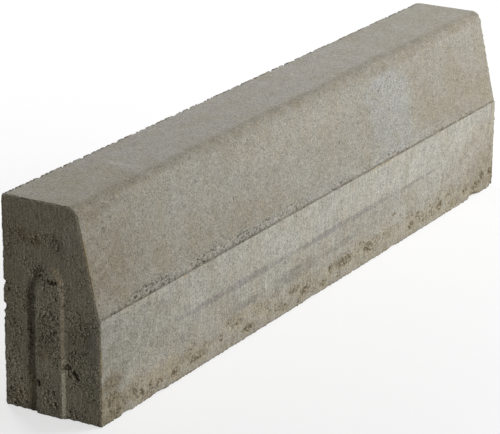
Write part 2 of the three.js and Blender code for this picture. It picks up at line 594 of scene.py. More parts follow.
@dataclass(frozen=True)
class Pitting:
    """Where the concrete is open, and how deep its pits are, in millimetres.

    Attributes:
        road_groups: Groups of open pits near the bed of the road face.
        batter_groups: A torn strip just above the foot of the batter.
        end_groups: Groups of open pits on the tongue end, its tongue included.
        end_paste: Close, smooth paste on the tongue end.
        paste_share: By what share it closes the groups.
        end_holes: Single holes in the tongue end; amount is the depth.
        bed_strip: The broken strip along the bed of the road face.
        bed_strip_low: Its lower edge.
        bed_strip_high: Its upper edge.
        bed_strip_share: How open it is.
        loose: The loose groups of the tongue end.
        loose_height: Below what height they lie.
        loose_share: How open they are.
        hidden_groups: The groups of the groove end and the back.
        hidden_share: How open they are.
        texture: The honeycomb's texture.
        road_texture: The same on the upright face, where it is finer.
        closed: How much closer it is where the concrete isn't open.
        road_open: How much more open it is on the upright face.
        texture_span: What of the texture is pits.
        open_span: How open the concrete is where it is honeycombed.
        honeycomb_depth: The honeycomb's depth.
        grit: The roughness of the ends and the back.
        scattered: Single pits on the ends and the back.
        scattered_depth: Their depth.
        hole_core: How firmly a hole's depth holds it open against the texture.
        hole_texture: How strongly the texture makes it ragged.
        hole_span: What of it is open.
        hole_edges: What breaks it up.
    """

    road_groups: tuple[Patch, ...] = (
        Patch(24, 47, 26, 12, 0.75), Patch(20, 30, 26, 10), Patch(27, 10, 24, 9), Patch(67, 18, 7, 7, 1.3),
        Patch(82, 13, 8, 7, 1.3), Patch(100, 16, 6, 9, 1.1), Patch(120, 15, 20, 6, 0.8),
        Patch(150, 12, 11, 8, 1.3), Patch(200, 15, 32, 8), Patch(220, 23, 12, 6, 0.8),
        Patch(253, 20, 7, 7, 1.1), Patch(272, 33, 16, 6, 0.9), Patch(294, 27, 8, 6, 1.3),
        Patch(316, 12, 22, 8, 1.3), Patch(350, 27, 8, 11, 0.7), Patch(383, 33, 22, 5, 0.7),
        Patch(400, 9, 18, 8), Patch(426, 25, 22, 9, 1.2), Patch(455, 15, 18, 9, 1.4),
        Patch(500, 10, 12, 8, 1.2), Patch(520, 23, 10, 8, 1.1), Patch(556, 22, 30, 12, 1.3),
        Patch(540, 8, 8, 6, 0.9), Patch(621, 21, 19, 12, 1.4), Patch(650, 26, 10, 6, 0.8),
        Patch(675, 18, 12, 4, 0.8), Patch(694, 45, 10, 2.6, 0.9), Patch(290, 35, 34, 4, 0.7),
        Patch(708, 23, 8, 6, 0.8), Patch(744, 16, 14, 10, 1.1), Patch(762, 25, 9, 7, 1.3),
        Patch(782, 12, 12, 9, 0.9), Patch(828, 18, 15, 10, 1.4), Patch(853, 26, 10, 6, 1.1),
        Patch(908, 18, 15, 9, 1.2), Patch(945, 15, 24, 7, 1.2), Patch(962, 24, 8, 10, 1.2),
        Patch(988, 24, 12, 9, 1.2),
    )
    batter_groups: tuple[Patch, ...] = (
        Patch(30, 128, 20, 5, 0.8), Patch(108, 130, 100, 10, 1.2), Patch(232, 130, 70, 10, 1.1),
        Patch(332, 130, 112, 10, 1.2), Patch(442, 130, 60, 9, 0.95), Patch(545, 128, 46, 6),
        Patch(620, 127.5, 40, 4, 0.8), Patch(700, 129, 66, 8, 0.9), Patch(810, 128, 50, 6, 0.8),
        Patch(900, 129, 60, 6, 0.7),
    )
    end_groups: tuple[Patch, ...] = (
        Patch(22, 206, 22, 12, 0.6), Patch(46, 203, 14, 11, 0.75), Patch(72, 204, 13, 14, 0.85),
        Patch(60, 208, 24, 13, 0.75), Patch(63, 108, 17, 46, 0.88), Patch(25, 130, 22, 26, 0.7),
        Patch(12, 102, 12, 14, 0.9), Patch(106, 110, 16, 16, 0.9), Patch(100, 78, 20, 16, 0.9),
        Patch(117, 34, 12, 14, 0.6), Patch(91, 56, 12, 13, 1.1), Patch(16, 14, 24, 20),
        Patch(66, 24, 19, 20, 0.9), Patch(10, 60, 14, 34, 0.5), Patch(36, 92, 6, 66, 0.8),
        Patch(44, 166, 9, 11), Patch(75, 100, 5, 50, 0.8),
    )
    end_paste: tuple[Patch, ...] = (
        Patch(58, 59, 13, 10), Patch(95, 26, 15, 14), Patch(100, 205, 26, 44), Patch(45, 236, 40, 14),
        Patch(20, 168, 18, 18, 0.8), Patch(98, 150, 14, 26, 0.7),
    )
    paste_share: float = 0.8
    end_holes: tuple[Patch, ...] = (
        Patch(30, 249, 2.2, 3.0, 1.8), Patch(11, 199, 6.0, 1.6, 1.6), Patch(64, 213, 4.5, 2.2, 1.2),
        Patch(44, 204, 4.0, 4.5, 0.7), Patch(74, 198, 4.5, 5.5, 0.9), Patch(70, 160, 10.0, 3.4, 5.0, 0.5),
        Patch(50, 166, 7.0, 4.5, 2.4), Patch(86, 63, 5.0, 5.0, 3.0, 0.4), Patch(91, 57, 6.0, 5.4, 2.8, 0.4),
        Patch(97, 53, 6.4, 4.2, 3.2, 0.4), Patch(88, 50, 5.0, 4.0, 2.2), Patch(48, 38, 5.6, 5.2, 4.6, 0.4),
        Patch(69, 31, 6.0, 2.6, 2.6), Patch(72, 17, 4.0, 3.4, 2.8), Patch(118, 31, 3.0, 2.6, 2.0),
        Patch(50, 72, 4.0, 2.4, 1.8), Patch(61, 71, 5.0, 2.0, 1.6), Patch(127, 3, 5.0, 4.0, 2.2),
    )
    bed_strip: Noise = Noise(15.0, start=0.44, full=0.64, stretch=(0.5, 1.0, 1.0))
    bed_strip_low: Span = (-10.0, 4.0)
    bed_strip_high: Span = (44.0, 30.0)
    bed_strip_share: float = 0.75
    loose: Noise = Noise(24.0, start=0.4, full=0.6)
    loose_height: Span = (235.0, 170.0)
    loose_share: float = 0.7
    hidden_groups: Noise = Noise(45.0, start=0.5, full=0.62)
    hidden_share: float = 0.9
    texture: Noise = Noise(3.7, 3.0, 0.65, stretch=(0.5, 1.0, 1.0))
    road_texture: Noise = Noise(2.7, 3.0, 0.65, stretch=(0.5, 1.0, 1.0))
    closed: float = 0.18
    road_open: float = 0.03
    texture_span: Span = (0.5, 0.64)
    open_span: Span = (0.0, 0.3)
    honeycomb_depth: float = 2.0
    grit: Noise = Noise(2.6, start=0.35, full=0.7)
    scattered: Spots = Spots(15.0, 2.6, 0.3)
    scattered_depth: float = 1.1
    hole_core: float = 0.25
    hole_texture: float = 6.0
    hole_span: Span = (0.2, 0.9)
    hole_edges: Noise = Noise(2.6, start=0.38, full=0.56)

    def openness(self, surface: Surface, planes: dict[Side, Signal]) -> Signal:
        """How open the concrete is.

        Args:
            surface: The casting's surface.
            planes: The two distances by which patches are placed on each side.

        Returns:
            The openness of each point, 0 where it is closed and about 1 where it is fully open.
        """
        graph, sides = surface.graph, surface.sides
        _, _, up = graph.axes(surface.place)
        strip = up.rise(*self.bed_strip_low) * up.rise(*self.bed_strip_high) * surface.mask(self.bed_strip)
        road = graph.patches(planes[Side.UPRIGHT], self.road_groups).larger_of(strip * self.bed_strip_share)
        road = road * sides[Side.UPRIGHT]
        batter = graph.patches(planes[Side.BATTER], self.batter_groups) * sides[Side.BATTER]
        loose = surface.mask(self.loose) * up.rise(*self.loose_height) * self.loose_share
        end = graph.patches(planes[Side.TONGUE_END], self.end_groups).larger_of(loose)
        paste = graph.patches(planes[Side.TONGUE_END], self.end_paste) * self.paste_share
        end = end * (1 - paste) * sides[Side.TONGUE_END]
        hidden = surface.mask(self.hidden_groups) * surface.by_side(0.0, groove_end=1.0, back=0.6)
        return road.larger_of(batter).larger_of(end).larger_of(hidden * self.hidden_share)

    def depth(self, surface: Surface, openness: Signal, end_plane: Signal) -> Signal:
        """How deep the pits are.

        Args:
            surface: The casting's surface.
            openness: How open the concrete is.
            end_plane: The two distances by which patches are placed on the tongue end.

        Returns:
            The depth of each point in millimetres, never below zero.
        """
        sides, by_side = surface.sides, surface.by_side
        upright = sides[Side.UPRIGHT]
        coarse, fine = surface.noise(self.texture), surface.noise(self.road_texture)
        texture = coarse + (fine - coarse) * upright
        texture = texture + (openness - 1) * self.closed + upright * self.road_open
        honeycomb = texture.rise(*self.texture_span) * openness.rise(*self.open_span) * self.honeycomb_depth
        honeycomb = honeycomb * by_side(1.0, upright=0.1, batter=-0.5)
        honeycomb = honeycomb + surface.spots(GRAIN_HOLES) * openness * by_side(1.5, upright=-0.8)
        grit = surface.mask(self.grit) * by_side(0.0, tongue_end=0.5, groove_end=0.3, back=0.2)
        scattered = surface.spots(self.scattered) * (sides[Side.BACK] + surface.ends) * self.scattered_depth
        holes = surface.graph.patches(end_plane, self.end_holes) * sides[Side.TONGUE_END]
        ragged = holes * self.hole_core + surface.swing(self.texture) * self.hole_texture
        holes = holes * ragged.rise(*self.hole_span) * surface.mask(self.hole_edges)
        return honeycomb + grit + scattered + holes


@dataclass
class Casting:
    """The kerb itself: the frame's solid, gridded finely and worn as the real casting is.

    Attributes:
        node: The frame's node that it stands for.
        length: Its length without the tongue.
        width: Its width at the bed.
        height: Its height.
        upright_height: The height of the upright lower half of the road face.
        batter_set_back: How far the top edge lies behind the upright face.
        ledge: How far the upright face stands proud of the batter's foot.
        chamfer: How far the ends' chamfers reach along it.
        tongue_stand: How far the tongue stands out of its end.
        tongue_half_width: Half the width of the tongue's crown.
        tongue_springing: Where the crown's arch springs, above the bed.
        tongue_middle: The tongue's middle across the kerb.
        joint_depth: How far in from an end its joint's faces lie at most.
        groove_half_width: Half the width of the strip that holds the groove.
        groove_heights: The heights between which the groove lies.
        road_pitch: The grid on the top and the road face.
        end_pitch: The grid on the tongue end.
        back_pitch: The grid on the back face.
        plain_pitch: The grid on the groove end and the bed.
        bays: The first, coarse division along the kerb.
        full_run: The share of a bay that an edge spans if it is cut up with it.
        flat_angle: The turn, in degrees, up to which the solid's faces are joined.
        mark_reach: How far from a side its mark ends.
        ledge_margin: How far past the ledge the marks of its sides go on.
        road_arris_reach: How far the road arris's rounding reaches.
        back_arris_reach: How far the back arris's mark reaches.
        ragged: What makes the outlines of notches, holes and groups ragged.
        ragged_reach: How far it pushes them.
        wear: How it is worn.
        pitting: How it is pitted.
        triangles: How many triangles it has when finished.
        sharp_angle: The turn, in degrees, from which an edge is shaded sharp.
        piece: The finished piece, once it is built.
    """

    node: str = "kerb_stone"
    length: float = 1000.0
    width: float = 130.0
    height: float = 250.0
    upright_height: float = 125.0
    batter_set_back: float = 30.0
    ledge: float = 1.5
    chamfer: float = 1.6
    tongue_stand: float = 5.0
    tongue_half_width: float = 17.5
    tongue_springing: float = 144.5
    tongue_middle: float = 1.5
    joint_depth: float = 8.0
    groove_half_width: float = 22.0
    groove_heights: tuple[float, float] = (1.0, 182.0)
    road_pitch: float = 1.5
    end_pitch: float = 1.2
    back_pitch: float = 2.8
    plain_pitch: float = 4.5
    bays: int = 8
    full_run: float = 0.9
    flat_angle: float = 0.3
    mark_reach: float = 1.5
    ledge_margin: float = 0.1
    road_arris_reach: float = 16.0
    back_arris_reach: float = 8.0
    ragged: Noise = Noise(5.0, 3.0)
    ragged_reach: float = 2.6
    wear: Wear = Wear()
    pitting: Pitting = Pitting()
    triangles: int = 190_000
    sharp_angle: float = 50.0
    piece: bpy.types.Object = field(init=False)

    def build(self, solid: bpy.types.Object) -> None:
        """Makes the casting's piece, which rides on its body and stands for its node.

        Args:
            solid: The frame's own mesh of the kerb.
        """
        self._copy(solid)
        self._cut_grid()
        self._mark_sides()
        self._weather()
        self._thin()
        self._smooth()
        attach(self.piece, "root")
        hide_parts(self.node)

    def dress(self, finish: "CastConcrete") -> None:
        """Lays its finish on the casting."""
        self.piece.data.materials.append(finish.material(self))

    def planes(self, graph: Graph, along: Signal, across: Signal, up: Signal) -> dict[Side, Signal]:
        """The two distances by which patches are placed on each side.

        Args:
            graph: The graph to fill.
            along: The place of each point along the kerb, in millimetres.
            across: Its place across the kerb.
            up: Its height.

        Returns:
            A vector of the first and second distance for each side that holds patches.
        """
        from_end = along + self.length / 2
        road = graph.joined(from_end, up)
        return {
            Side.TOP: graph.joined(from_end, across + (self.width / 2 - self.batter_set_back)),
            Side.BATTER: road,
            Side.UPRIGHT: road,
            Side.TONGUE_END: graph.joined(self.width / 2 - across, up),
        }

    def _copy(self, solid: bpy.types.Object) -> None:
        """Copies the solid, welds its triangles and joins those of one plane into one face.

        Args:
            solid: The frame's own mesh of the kerb.
        """
        bpy.ops.object.select_all(action="DESELECT")
        self.piece = bpy.data.objects.new("concrete_kerb", solid.data.copy())
        bpy.context.scene.collection.objects.link(self.piece)
        self.piece.data.materials.clear()
        self.piece.select_set(True)
        bpy.context.view_layer.objects.active = self.piece
        bpy.ops.mesh.customdata_custom_splitnormals_clear()
        bpy.ops.object.mode_set(mode="EDIT")
        bpy.ops.mesh.select_mode(type="FACE")
        bpy.ops.mesh.select_all(action="SELECT")
        bpy.ops.mesh.remove_doubles(threshold=TOUCHING * MM)
        bpy.ops.mesh.dissolve_limited(angle_limit=math.radians(self.flat_angle))

    def _slice(self, faces: FaceChoice, across: Triple, low: float, high: float, pitch: float) -> None:
        """Cuts the chosen faces by evenly spaced planes.

        Args:
            faces: The faces that are cut.
            across: The direction across the planes.
            low: Where the cut stretch starts, in millimetres.
            high: Where it ends.
            pitch: The largest distance between planes.
        """
        steps = math.ceil((high - low) / pitch)
        for step in range(1, steps):
            mesh = bmesh.from_edit_mesh(self.piece.data)
            bpy.ops.mesh.select_all(action="DESELECT")
            for face in mesh.faces:
                if faces.takes(face):
                    face.select_set(True)
            at = Vector(across) * (low + (high - low) * step / steps) * MM
            bpy.ops.mesh.bisect(plane_co=at, plane_no=across, use_fill=False)

    def _cut_grid(self) -> None:
        """Cuts each side of the casting into small, nearly square faces."""
        half = self.width / 2
        across, up = (0, 1, 0), (0, 0, 1)
        for low, high in ((0, self.upright_height), (self.upright_height, self.height)):
            self._slice(FaceChoice((0, -1, 0)), up, low, high, self.road_pitch)
        self._slice(FaceChoice((0, 1, 0)), up, 0, self.height, self.back_pitch)
        self._slice(FaceChoice(up, least=0.9), across, -half, half, self.road_pitch)
        self._slice(FaceChoice((0, 0, -1)), across, -half, half, self.plain_pitch)
        for side, pitch in ((-1, self.end_pitch), (1, self.plain_pitch)):
            end = FaceChoice((side, 0, 0), least=0.2, beyond=self.length / 2 - self.joint_depth)
            self._slice(end, up, 0, self.height, pitch)
            self._slice(end, across, -half, half, pitch)
        self._cut_lengthwise()
        bpy.ops.mesh.select_all(action="SELECT")
        bpy.ops.mesh.quads_convert_to_tris(quad_method="BEAUTY", ngon_method="BEAUTY")
        bpy.ops.object.mode_set(mode="OBJECT")

    def _cut_lengthwise(self) -> None:
        """Cuts the long strips across, in two goes because one takes at most a hundred cuts."""
        bpy.ops.mesh.select_mode(type="EDGE")
        cuts = math.ceil(self.length / self.bays / self.road_pitch) - 1
        for pieces, shortest in ((self.bays - 1, self.full_run), (cuts, self.full_run / self.bays)):
            mesh = bmesh.from_edit_mesh(self.piece.data)
            bpy.ops.mesh.select_all(action="DESELECT")
            for edge in mesh.edges:
                run = abs(edge.verts[0].co.x - edge.verts[1].co.x)
                edge.select_set(run > shortest * self.length * MM)
            bpy.ops.mesh.subdivide(number_cuts=pieces)
        bpy.ops.mesh.select_mode(type="FACE")

    def _mark_sides(self) -> None:
        """Writes on every point which side it is on and how far it is from an arris."""
        mesh = self.piece.data
        place = np.empty(len(mesh.vertices) * 3)
        mesh.vertices.foreach_get("co", place)
        x, y, z = place.reshape(-1, 3).T / MM
        half_length, half = self.length / 2, self.width / 2
        slope = math.atan2(self.batter_set_back - self.ledge, self.height - self.upright_height)
        foot = (y + half - self.ledge) * math.cos(slope) - (z - self.upright_height) * math.sin(slope)
        off_batter, far = np.abs(foot), np.full(len(x), FAR)
        in_groove = (x > half_length - self.joint_depth) & (z > self.groove_heights[0])
        in_groove &= (z < self.groove_heights[1]) & (np.abs(y - self.tongue_middle) < self.groove_half_width)
        away = {
            Side.TOP: self.height - z,
            Side.BATTER: np.where(z > self.upright_height - self.ledge_margin, off_batter, far),
            Side.UPRIGHT: np.where(z < self.upright_height + self.ledge_margin, y + half, far),
            Side.BACK: half - y,
            Side.TONGUE_END: np.maximum(x + half_length, 0.0),
            Side.GROOVE_END: np.where(in_groove, 0.0, np.abs(half_length - x)),
            Side.BED: z,
        }
        marks = {side: np.clip(self.mark_reach - distance, 0.0, 1.0) for side, distance in away.items()}
        rounded = (z > self.height - self.road_arris_reach) & (np.abs(x) < half_length - self.chamfer)
        rounded &= y < self.batter_set_back - half + self.road_arris_reach
        share = off_batter / np.maximum(off_batter + away[Side.TOP], TOUCHING)
        marks[Side.TOP] = np.where(rounded, share, marks[Side.TOP])
        marks[Side.BATTER] = np.where(rounded, 1 - share, marks[Side.BATTER])
        for side, mark in marks.items():
            self._write(side.value, mark)
        self._write("tongue", (x < -half_length - TOUCHING).astype(float))
        off_back_arris = np.hypot(half - y, self.height - z)
        self._write("back_arris", np.clip(1 - off_back_arris / self.back_arris_reach, 0.0, 1.0))
        nearest = np.sort(np.stack(list(away.values())), axis=0)
        self._write("arris", np.minimum(nearest[1], self._from_crown_edge(x, y, z)))

    def _from_crown_edge(self, x: np.ndarray, y: np.ndarray, z: np.ndarray) -> np.ndarray:
        """How far points of the tongue are from its crown's edge.

        Args:
            x: The points' places along the kerb, in millimetres.
            y: Their places across it.
            z: Their heights.

        Returns:
            The distance, and a large one for points that aren't on the tongue.
        """
        above = np.maximum(z - self.tongue_springing, 0.0)
        inset = self.tongue_half_width - np.hypot(y - self.tongue_middle, above)
        below_crown = self.length / 2 + self.tongue_stand + x
        distance = np.hypot(np.maximum(inset, 0.0), below_crown)
        return np.where(x < -self.length / 2 - TOUCHING, distance, FAR)

    def _write(self, name: str, values: np.ndarray) -> None:
        """Stores one number on every point of the mesh."""
        attribute = self.piece.data.attributes.new(name, "FLOAT", "POINT")
        attribute.data.foreach_set("value", values.astype(np.float32))

    def _weather(self) -> None:
        """Sinks the worn and pitted surface by a Geometry Nodes modifier, and applies it."""
        group = bpy.data.node_groups.new("casting_wear", "GeometryNodeTree")
        for way in ("INPUT", "OUTPUT"):
            group.interface.new_socket("Geometry", in_out=way, socket_type="NodeSocketGeometry")
        graph = Graph(group)
        position = graph.add("GeometryNodeInputPosition", None, None, 0)
        surface = Surface(graph, graph.scaled(position, 1 / MM))
        ragged = surface.warped(self.ragged, self.ragged_reach)
        planes = self.planes(graph, *graph.axes(ragged))
        openness = self.pitting.openness(surface, planes)
        pits = self.pitting.depth(surface, openness, planes[Side.TONGUE_END])
        depth = self.wear.depth(surface, ragged, self) + pits
        outwards = graph.add("GeometryNodeInputNormal", None, None, 0)
        sunk = graph.vector("ADD", position, graph.scaled(outwards, depth * -MM))
        lowest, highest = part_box(self.node)
        sunk = graph.vector("MINIMUM", graph.vector("MAXIMUM", sunk, tuple(lowest)), tuple(highest))
        shape = graph.add("NodeGroupInput", None, None, 0)
        shape = graph.add("GeometryNodeSetPosition", None, {"Geometry": shape, "Position": sunk}, 0)
        for name, value in (("pits", pits), ("openness", openness)):
            sockets = {"Geometry": shape, "Name": name, "Value": value}
            shape = graph.add("GeometryNodeStoreNamedAttribute", {"data_type": "FLOAT"}, sockets, 0)
        graph.node("NodeGroupOutput", None, {0: shape})
        modifier = self.piece.modifiers.new("wear", "NODES")
        modifier.node_group = group
        bpy.ops.object.modifier_apply(modifier=modifier.name)

    def _thin(self) -> None:
        """Takes out the points that the worn shape needs least, and keeps the rest in the solid's box."""
        modifier = self.piece.modifiers.new("thin", "DECIMATE")
        modifier.ratio = self.triangles / len(self.piece.data.polygons)
        bpy.ops.object.modifier_apply(modifier=modifier.name)
        points = self.piece.data.vertices
        place = np.empty(len(points) * 3, np.float32)
        points.foreach_get("co", place)
        lowest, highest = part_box(self.node)
        points.foreach_set("co", np.clip(place.reshape(-1, 3), lowest, highest).astype(np.float32).ravel())

    def _smooth(self) -> None:
        """Shades the faces smooth, except across real edges."""
        bpy.ops.object.select_all(action="DESELECT")
        self.piece.select_set(True)
        bpy.context.view_layer.objects.active = self.piece
        bpy.ops.object.shade_smooth_by_angle(angle=math.radians(self.sharp_angle))


# ---- Finishes ---------------------------------------------------------------------------------


@dataclass(frozen=True)
class Tint:
    """Patches of one tint, or of painted light or shade, on one side of the casting.

    Attributes:
        shade: What the concrete's own colour is multiplied by where they lie fully.
        patches: Where they lie; amount is how fully.
    """

    shade: Triple
    patches: tuple[Patch, ...]


@dataclass(frozen=True)
class CastConcrete:
    """Grey pressed concrete, sandy and matt, paler on the upright face and stained near the bed, with
    painted light and shade on its tongue end and arrises and in its pits.
    """

    # Plain colours of the sides; the back and the groove end are partly as yellow as the tongue end
    top: Triple = (0.301, 0.286, 0.255)
    batter: Triple = (0.331, 0.315, 0.273)
    upright: Triple = (0.428, 0.411, 0.362)
    end: Triple = (0.352, 0.315, 0.234)
    hidden_share: float = 0.5
    # Shine and relief; the relief is in millimetres
    roughness: float = 0.93
    specular: float = 0.25
    relief: float = 0.6
    sand_relief: float = 1.4
    pore_relief: float = 0.8
    # What makes each place lighter or darker
    sand: Noise = Noise(2.2, roughness=0.6)
    fine_sand: Noise = Noise(1.3, roughness=0.6)
    grit: Noise = Noise(4.6, roughness=0.6)
    blotches: Noise = Noise(9.0, 3.0, 0.6)
    mottling: Noise = Noise(20.0)
    streaks: Noise = Noise(2.4, stretch=(1.0, 1.0, 0.07))
    dashes: Noise = Noise(2.6, roughness=0.6, start=0.53, full=0.64, stretch=(0.3, 1.0, 1.0))
    pores: Spots = Spots(4.2, 1.3, 0.35)
    flecks: Spots = Spots(3.1, 1.2, 0.3, shift=(7.0, 3.0, 5.0))
    specks: Spots = Spots(9.0, 2.3, 0.5, shift=(2.0, 5.0, 9.0))
    grain_size: float = 1.9
    grain_contrast: float = 0.2
    # What shifts its colour, and by which shade
    warm_grains: Span = (0.7, 1.0)
    warm_strength: float = 0.3
    warm_shade: Triple = (1.06, 0.97, 0.84)
    clouds: Noise = Noise(36.0, 4.0, 0.6, start=0.42, full=0.62)
    cloud_shade: Triple = (0.95, 0.932, 0.88)
    open_shade: Triple = (0.90, 0.85, 0.77)
    # Painted shade along the rounded back arris
    back_arris_span: Span = (0.45, 0.75)
    back_arris_painted_shade: Triple = (0.82, 0.80, 0.76)
    # Dirt and painted shade in the pits and grain holes, dirt between grains of sand, and painted shade
    # along the broken back arris
    dirt_and_shade: Triple = (0.085, 0.066, 0.042)
    dirt_and_shade_in_pits: float = 0.7
    dirt_in_sand: float = 2.5
    dirt_and_shade_span: Span = (0.35, 1.15)
    # Painted shade in broken patches along the back arris, in the dark colour
    shaded_back_arris: Noise = Noise(7.0, 3.0, 0.65, start=0.42, full=0.6)
    shaded_back_arris_span: Span = (0.2, 0.8)
    # Tints: what makes their outlines ragged, along the kerb and finely, and what breaks them up
    long_push: Noise = Noise(14.0, 1.0)
    long_reach: float = 5.0
    fine_push: Noise = Noise(3.0, 1.0)
    fine_reach: float = 1.0
    tint_breaks: Noise = Noise(13.0, 4.0, 0.65, start=0.34, full=0.56)
    least_tint: float = 0.4
    top_tints_and_painted_shade: tuple[Tint, ...] = (
        Tint((0.95, 0.93, 0.87), (Patch(40, 50, 150, 120, 1.0, 0.5),)),
        Tint((0.95, 0.95, 0.92), (Patch(980, 50, 170, 120), Patch(810, 50, 70, 120, 0.9))),
        # Painted shade on the rounded road arris, which the lamps light, with a browner tone
        Tint((0.76, 0.74, 0.68), (Patch(500, 3, 1200, 13, 0.8, 0.7), Patch(720, 2, 260, 18, 0.85))),
        # Painted shade along the back edge of the top
        Tint((0.74, 0.71, 0.66), (Patch(500, 100, 1200, 7, 0.9),)),
        Tint((1.16, 1.17, 1.21), (Patch(157, 43, 7, 34), Patch(156, 48, 5, 20))),
    )
    batter_tints_and_painted_shade: tuple[Tint, ...] = (
        Tint((0.82, 0.78, 0.71), (
            Patch(0, 165, 150, 80, 1.0, 0.9), Patch(10, 220, 120, 40, 0.8, 0.9),
            Patch(62, 178, 26, 20, 0.6), Patch(80, 215, 20, 14, 0.5), Patch(30, 148, 34, 14, 0.6),
        )),
        Tint((0.93, 0.92, 0.89), (Patch(60, 180, 130, 60, 1.0, 0.7),)),
        Tint((0.92, 0.82, 0.62), (Patch(0, 186, 4, 66, 0.9, 0.4),)),
        Tint((0.90, 0.87, 0.81), (
            Patch(920, 150, 200, 56, 1.0, 0.7), Patch(250, 150, 220, 44, 0.6),
            Patch(860, 200, 130, 40, 0.5), Patch(1004, 190, 18, 90, 1.0, 0.8),
        )),
        # Painted shade on the rounded road arris, which the lamps light, with a browner tone
        Tint((0.78, 0.75, 0.70), (
            Patch(500, 249, 1200, 11), Patch(730, 247, 240, 16, 0.9), Patch(20, 244, 110, 16, 0.8),
            Patch(850, 247, 260, 13, 0.9, 0.7), Patch(300, 247, 120, 12, 0.6, 0.7),
        )),
        Tint((1.07, 1.06, 1.06), (Patch(460, 213, 190, 32, 1.0, 0.5),)),
        Tint((0.95, 0.95, 0.94), (Patch(700, 168, 90, 26),)),
        Tint((1.05, 1.10, 1.195), (
            Patch(703, 210, 66, 24, 1.0, 0.2), Patch(702, 186, 62, 24, 1.0, 0.2),
            Patch(704, 164, 60, 24, 1.0, 0.2), Patch(707, 144, 54, 16, 0.9, 0.3),
        )),
        Tint((1.10, 1.12, 1.18), (Patch(310, 131, 290, 8.5, 1.0, 0.7), Patch(720, 131, 250, 8, 0.8, 0.7))),
        Tint((0.60, 0.57, 0.55), (Patch(500, 125.5, 1500, 2.4, 0.9),)),
    )
    upright_tints: tuple[Tint, ...] = (
        Tint((0.92, 0.82, 0.62), (Patch(0, 62, 4, 66, 0.9, 0.4),)),
        Tint((0.93, 0.92, 0.90), (Patch(500, 30, 1500, 52, 1.0, 0.5),)),
        Tint((0.92, 0.89, 0.83), (Patch(50, -4, 180, 44, 1.0, 0.4), Patch(500, -4, 1100, 40, 0.7, 0.4))),
        Tint((0.82, 0.82, 0.80), (Patch(0, 90, 80, 80, 0.8, 0.8),)),
        Tint((0.855, 0.855, 0.84), (Patch(70, 88, 120, 44),)),
        Tint((0.78, 0.76, 0.71), (Patch(12, 18, 50, 42), Patch(985, 34, 90, 60, 0.6, 0.7))),
        Tint((0.92, 0.89, 0.85), (Patch(990, 50, 160, 100, 1.0, 0.8),)),
        Tint((0.75, 0.74, 0.78), (
            Patch(290, 75, 170, 6.5), Patch(560, 74.5, 200, 6), Patch(760, 74.5, 90, 3),
        )),
        Tint((0.74, 0.74, 0.75), (
            Patch(300, 46, 60, 7, 0.8), Patch(436, 47, 66, 13), Patch(442, 46, 44, 8),
            Patch(545, 48, 66, 7, 0.8, 0.7), Patch(660, 60, 90, 10, 0.3),
        )),
        Tint((1.10, 1.11, 1.12), (
            Patch(375, 57, 86, 12, 0.9), Patch(730, 44, 40, 9, 0.9), Patch(580, 18, 520, 8, 0.6, 0.5),
        )),
        Tint((0.90, 0.90, 0.88), (Patch(36, 57, 42, 9),)),
        Tint((1.08, 1.09, 1.11), (Patch(690, 102, 300, 34, 0.9), Patch(410, 100, 150, 34, 0.8))),
        Tint((1.05, 1.00, 0.92), (Patch(122, 26, 46, 16), Patch(310, 34, 40, 9, 0.9))),
        Tint((0.66, 0.60, 0.52), (Patch(694, 45, 9, 2.4, 0.7), Patch(24, 47, 32, 13, 0.6))),
        Tint((0.98, 0.84, 0.60), (Patch(175, 124, 6, 3, 0.9), Patch(660, 124, 34, 2, 0.9))),
        Tint((0.55, 0.48, 0.38), (Patch(250, 0, 700, 3.5, 0.8, 0.8), Patch(800, 0, 500, 2.5, 0.5, 0.8))),
    )
